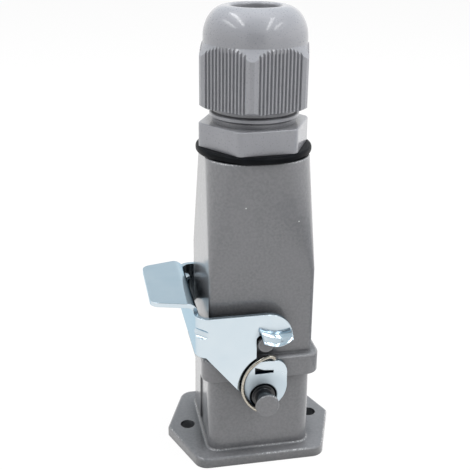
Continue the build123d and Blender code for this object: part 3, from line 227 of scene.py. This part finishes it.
def zinc_plated_sheet(tree):
    """Sheet steel, rolled, punched and folded, then plated with blue zinc.

    The eye sees a smooth bluish mirror with faint rolling lines, fine pits and a pale cloud. Painted
    shade makes it deep blue in its gaps and folds and dark at the rims of the eye holes; it is dull in the
    dished eyes.
    """
    place = node(tree, "TexCoord", {}, "Object")
    cloud = node(tree, "TexNoise", {"Vector": place, "Scale": 1 / (6.0 * MM), "Detail": 2.0})
    pits = node(tree, "TexNoise", {"Vector": place, "Scale": 1 / (0.5 * MM), "Detail": 2.0})
    # real rolling lines are finer and are drawn 0.14 mm apart, along X, so that a close view shows them
    rolled = node(tree, "Mapping", {"Vector": place, "Scale": (0.12, 1.0, 1.0)})
    lines = node(tree, "TexNoise", {"Vector": rolled, "Scale": 1 / (0.14 * MM), "Detail": 3.0,
                                    "Roughness": 0.6})
    off_pivot = from_pivot(tree, place)
    # painted shade: a dark ring around the holes of the eyes
    painted_rim_shade = node(tree, "MapRange", {"Value": off_pivot, "From Min": EYE_HOLE_R + EYE_RIM_SHADE_WIDTH,
                                  "From Max": EYE_HOLE_R + 2 * EYE_RIM_SHADE_WIDTH, "To Min": 1.0, "To Max": 0.0})
    # painted shade, deep blue in gaps and folds and near black at the rims of the eye holes
    colour = layered(tree, "#cedbe3", (
        (node(tree, "MapRange", {"Value": cloud, "From Min": 0.2, "From Max": 0.8}), "#d8e2e8"),
        (painted_corner_shade(tree, 3.0 * MM, 0.35, 0.85), "#0b2440"),
        (painted_rim_shade, "#0b1219"),
    ))
    gloss = node(tree, "MapRange", {"Value": pits, "From Min": 0.3, "From Max": 0.7,
                                    "To Min": 0.13, "To Max": 0.19})
    dull_eye = node(tree, "MapRange", {"Value": off_pivot, "From Min": EYE_DULL_R,
                                       "From Max": EYE_BRIGHT_R, "To Min": 0.5, "To Max": 0.0})
    gloss = node(tree, "Math", {0: gloss, 1: dull_eye}, operation="MAXIMUM")
    edge = node(tree, "Bevel", {"Radius": 0.2 * MM}, samples=16)
    skin = node(tree, "Bump", {"Height": pits, "Distance": 0.006 * MM, "Strength": 0.25, "Normal": edge})
    skin = node(tree, "Bump", {"Height": lines, "Distance": 0.003 * MM, "Strength": 0.2, "Normal": skin})
    return node(tree, "BsdfPrincipled", {"Base Color": colour, "Metallic": 1.0, "Roughness": gloss,
                                         "Specular Tint": "#c6dce8", "Normal": skin})


def nickel_wire(tree):
    """Spring wire, drawn and nickel plated: warm bright metal with small marks from the drawing."""
    place = node(tree, "TexCoord", {}, "Object")
    # real marks are finer and are drawn 0.25 mm wide, so that they show
    marks = node(tree, "TexNoise", {"Vector": place, "Scale": 1 / (0.25 * MM), "Detail": 3.0,
                                    "Roughness": 0.7})
    skin = node(tree, "Bump", {"Height": marks, "Distance": 0.01 * MM, "Strength": 0.3})
    return node(tree, "BsdfPrincipled", {
        "Metallic": 1.0, **marked(tree, marks, "#a39c90", "#cfc9bd", 0.15, 0.3, skin),
    })


def moulded_nylon(tree, corner_shade_colour):
    """Grey polyamide, injection moulded: silky gloss, soft flow clouds and a fine mould texture.

    Its deep corners turn to the given colour as painted shade.
    """
    place = node(tree, "TexCoord", {}, "Object")
    cloud = node(tree, "TexNoise", {"Vector": place, "Scale": 1 / (9.0 * MM), "Detail": 3.0})
    # real mould texture is about 0.1 mm wide and is drawn 0.35 mm wide, so that it shows
    texture = node(tree, "TexNoise", {"Vector": place, "Scale": 1 / (0.35 * MM), "Detail": 2.0})
    # painted shade in the deep corners
    colour = layered(tree, "#86878c", (
        (node(tree, "MapRange", {"Value": cloud, "From Min": 0.3, "From Max": 0.7}), "#8d8e93"),
        (painted_corner_shade(tree, 3.0 * MM, 0.2, 0.75), corner_shade_colour),
    ))
    gloss = node(tree, "MapRange", {"Value": texture, "From Min": 0.3, "From Max": 0.7,
                                    "To Min": 0.26, "To Max": 0.34})
    edge = node(tree, "Bevel", {"Radius": 0.18 * MM}, samples=16)
    skin = node(tree, "Bump", {"Height": texture, "Distance": 0.003 * MM, "Strength": 0.2, "Normal": edge})
    return node(tree, "BsdfPrincipled", {"Base Color": colour, "IOR": 1.53, "Roughness": gloss,
                                         "Coat Weight": 0.6, "Coat Roughness": 0.06, "Normal": skin})


def black_rubber(tree):
    """Nitrile rubber, moulded: near black with a faint blue bloom, a dull sheen and a fine grain."""
    place = node(tree, "TexCoord", {}, "Object")
    bloom = node(tree, "TexNoise", {"Vector": place, "Scale": 1 / (2.0 * MM), "Detail": 3.0})
    bloom = node(tree, "MapRange", {"Value": bloom, "From Min": 0.3, "From Max": 0.7})
    fine = node(tree, "TexNoise", {"Vector": place, "Scale": 1 / (0.2 * MM), "Detail": 3.0})
    gloss = node(tree, "MapRange", {"Value": fine, "From Min": 0.3, "From Max": 0.7,
                                    "To Min": 0.4, "To Max": 0.5})
    skin = node(tree, "Bump", {"Height": fine, "Distance": 0.02 * MM, "Strength": 0.3})
    return node(tree, "BsdfPrincipled", {"Base Color": layered(tree, "#050608", ((bloom, "#0b0d11"),)),
                                         "IOR": 1.5, "Specular IOR Level": 0.1, "Roughness": gloss,
                                         "Normal": skin})


def filled_polycarbonate(tree):
    """Glass filled polycarbonate, injection moulded: pale warm grey, satin, with faint fibre streaks."""
    place = node(tree, "TexCoord", {}, "Object")
    upright = node(tree, "Mapping", {"Vector": place, "Scale": (1.0, 1.0, 0.15)})
    # real streaks are finer and are drawn 0.3 mm wide, so that they show
    streaks = node(tree, "TexNoise", {"Vector": upright, "Scale": 1 / (0.3 * MM), "Detail": 3.0})
    edge = node(tree, "Bevel", {"Radius": 0.15 * MM}, samples=16)
    skin = node(tree, "Bump", {"Height": streaks, "Distance": 0.01 * MM, "Strength": 0.3, "Normal": edge})
    return node(tree, "BsdfPrincipled", {
        "IOR": 1.58, **marked(tree, streaks, "#b9b8b2", "#c2c1bb", 0.4, 0.5, skin),
    })


def turned_metal(tree, dark, light, smoothest, roughest):
    """A small turned piece, plated: bright metal in two close tones, with marks around its axis."""
    place = node(tree, "TexCoord", {}, "Object")
    flat = node(tree, "Mapping", {"Vector": place, "Scale": (0.2, 0.2, 1.0)})
    # real turning marks are about 0.05 mm apart and are drawn 0.15 mm apart, so that they show
    marks = node(tree, "TexNoise", {"Vector": flat, "Scale": 1 / (0.15 * MM), "Detail": 2.0})
    edge = node(tree, "Bevel", {"Radius": 0.08 * MM}, samples=16)
    skin = node(tree, "Bump", {"Height": marks, "Distance": 0.008 * MM, "Strength": 0.3, "Normal": edge})
    return node(tree, "BsdfPrincipled", {
        "Metallic": 1.0, **marked(tree, marks, dark, light, smoothest, roughest, skin),
    })


# each finish and the pieces that have it
FINISHES = (
    (new_material("powder_coated_zinc", powder_coated_zinc),
     ("base_housing", "hood_housing")),
    (new_material("black_rubber", black_rubber),
     ("flange_gasket", "hood_gasket", "gland_washer", "gland_seal")),
    (new_material("filled_polycarbonate", filled_polycarbonate),
     ("female_insert", "male_insert")),
    (new_material("silver_plated_copper", turned_metal, "#c9c4b8", "#dedad0", 0.25, 0.37),
     ("socket_contacts", "pin_contacts")),
    (new_material("zinc_plated_steel", turned_metal, "#a9adb0", "#cfd3d6", 0.3, 0.42),
     ("female_terminal_screws", "female_fixing_screw", "female_ground_screw",
      "male_terminal_screws", "male_fixing_screw", "male_ground_screw")),
    (new_material("plated_brass", turned_metal, "#bfae7c", "#d6c898", 0.28, 0.4),
     ("female_ground_contact", "male_ground_contact")),
    # the neck under the nut: the same nylon with near black painted shade in its deep corners
    (new_material("moulded_nylon_neck_painted_shade", moulded_nylon, "#1c1c1f"),
     ("gland_body",)),
    (new_material("moulded_nylon", moulded_nylon, "#87888d"),
     ("gland_nut",)),
    (new_material("zinc_plated_sheet", zinc_plated_sheet),
     ("locking_lever",)),
    (new_material("nickel_wire", nickel_wire),
     ("front_spring_ring", "rear_spring_ring")),
)
for finish, pieces in FINISHES:
    for piece in pieces:
        for slot in frame["nodes"][piece].material_slots:
            slot.material = finish


# studio: pale floor, cards that only reflections see, soft boxes and tube lamps; in metres
FLOOR_SIZE = (6.0, 6.0)
FLOOR_Z = -0.05 * MM
FLOOR_GLOW = 0.94
HOLE_PANEL_SIZE = (4.0 * MM, 4.0 * MM)
HOLE_PANEL_Z = 0.01 * MM
AMBIENT = 0.28
LAMP_AIM = Vector((0.0, 0.0, 60.0 * MM))


def picture_ray(tree):
    """1 for rays that show something to the camera, straight or in gloss or glass; 0 for other light."""
    camera = node(tree, "LightPath", {}, "Is Camera Ray")
    rays = camera.node.outputs
    seen = node(tree, "Math", {0: camera, 1: rays["Is Glossy Ray"]}, operation="MAXIMUM")
    return node(tree, "Math", {0: seen, 1: rays["Is Transmission Ray"]}, operation="MAXIMUM")


def white_floor(tree):
    """Matt white board that keeps a soft shadow and looks as white as the background."""
    paper = node(tree, "BsdfDiffuse", {"Color": "#f4f4f4"})
    glow = node(tree, "Emission", {"Color": "#ffffff", "Strength": 1.0})
    board = node(tree, "MixShader", {"Fac": FLOOR_GLOW, 1: paper, 2: glow})
    bounce = node(tree, "BsdfDiffuse", {"Color": "#b8b8b8"})
    return node(tree, "MixShader", {"Fac": picture_ray(tree), 1: bounce, 2: board})


def dim_ceiling(tree):
    """Ceiling for reflections: grey overhead and nearly white towards the walls."""
    place = node(tree, "TexCoord", {}, "Object")
    away = node(tree, "VectorMath", {0: place}, "Value", operation="LENGTH")
    outer = node(tree, "MapRange", {"Value": away, "From Min": 0.5, "From Max": 2.2})
    return node(tree, "Emission", {"Color": layered(tree, "#bccad3", ((outer, "#f0f3f5"),)),
                                   "Strength": 1.0})


def plain_card(tree, colour):
    """Card that shows one tone."""
    return node(tree, "Emission", {"Color": colour, "Strength": 1.0})


def plane(name, size, location, normal, material):
    """A flat rectangle of the studio that faces along normal."""
    mesh = bpy.data.meshes.new(name)
    w, h = size[0] / 2, size[1] / 2
    mesh.from_pydata([(-w, -h, 0), (w, -h, 0), (w, h, 0), (-w, h, 0)], [], [(0, 1, 2, 3)])
    mesh.materials.append(material)
    thing = bpy.data.objects.new(name, mesh)
    turn = Vector(normal).to_track_quat("Z", "Y").to_matrix().to_4x4()
    thing.matrix_world = Matrix.Translation(location) @ turn
    bpy.context.scene.collection.objects.link(thing)
    return thing


def card(name, size, location, normal, material):
    """A plane that only reflections see."""
    thing = plane(name, size, location, normal, material)
    thing.visible_camera = False
    thing.visible_diffuse = False
    thing.visible_shadow = False
    thing.visible_transmission = False


def lamp(name, location, size, radiance, along=None):
    """A soft box aimed at the object, or a tube where along gives the way of its long side.

    Reflections see the tubes and not the soft boxes.
    """
    data = bpy.data.lights.new(name, "AREA")
    data.shape = "RECTANGLE"
    data.size, data.size_y = size
    data.energy = radiance * math.pi * size[0] * size[1]  # watts
    thing = bpy.data.objects.new(name, data)
    thing.visible_glossy = bool(along)
    away = (Vector(location) - LAMP_AIM).normalized()
    if along:
        side = Vector(along) - away * away.dot(Vector(along))
        side.normalize()
        turn = Matrix((side, away.cross(side), away)).transposed().to_4x4()
    else:
        turn = away.to_track_quat("Z", "Y").to_matrix().to_4x4()
    thing.matrix_world = Matrix.Translation(location) @ turn
    bpy.context.scene.collection.objects.link(thing)


def make_world():
    """White air for the camera and for reflections, dimmer as a light."""
    world = bpy.data.worlds.new("studio")
    bpy.context.scene.world = world
    world.use_nodes = True
    tree = world.node_tree
    tree.nodes.clear()
    light = node(tree, "Background", {"Color": "#ffffff", "Strength": AMBIENT})
    backdrop = node(tree, "Background", {"Color": "#ffffff", "Strength": 1.0})
    air = node(tree, "MixShader", {"Fac": picture_ray(tree), 1: light, 2: backdrop})
    node(tree, "OutputWorld", {"Surface": air})


plane("floor", FLOOR_SIZE, (0, 0, FLOOR_Z), (0, 0, 1), new_material("floor_white", white_floor))

# size, middle and normal
card("card_low", (0.24, 0.22), (0.165, -0.09, 0.002), (0, 0, 1),
     new_material("card_pale", plain_card, "#8e949a"))
card("card_front", (0.55, 0.42), (-0.16, -0.80, 0.24), (0.2, 1, -0.1),
     new_material("card_grey", plain_card, "#42484e"))
card("ceiling", (5.0, 5.0), (0, 0, 0.76), (0, 0, -1), new_material("ceiling_dim", dim_ceiling))

# painted shade: small grey glowing panels on the floor under the panel holes stand in for the shade seen
# through them, so that the holes look dark
painted_hole_shade = new_material("painted_hole_shade", plain_card, "#8c9094")
for x in (-PANEL_HOLE_X, PANEL_HOLE_X):
    plane("panel_under_hole", HOLE_PANEL_SIZE, (x, 0, HOLE_PANEL_Z), (0, 0, 1), painted_hole_shade)

# place, size and radiance, and the way that a tube lies
lamp("softbox_left", (-0.45, -0.10, 0.22), (0.40, 0.40), 1.6)
lamp("softbox_right", (0.48, -0.16, 0.24), (0.40, 0.40), 3.5)
lamp("softbox_front", (-0.10, -0.55, 0.40), (0.40, 0.40), 0.4)
lamp("softbox_top", (0.05, 0.10, 0.60), (0.50, 0.50), 5.0)
lamp("tube_left_near", (-0.345, 0.0, 0.72), (0.95, 0.08), 7.0, (-0.25, -0.92, 0.0))
lamp("tube_left_far", (-0.77, -0.01, 0.72), (0.85, 0.09), 5.0, (-0.18, -0.83, 0.0))
lamp("tube_right_near", (0.28, -0.26, 0.72), (1.05, 0.08), 6.0, (-0.02, -1.0, 0.0))
lamp("tube_right_far", (0.60, -0.40, 0.72), (0.85, 0.09), 5.0, (0.04, -0.86, 0.0))

make_world()
bpy.context.scene.view_settings.view_transform = "Standard"
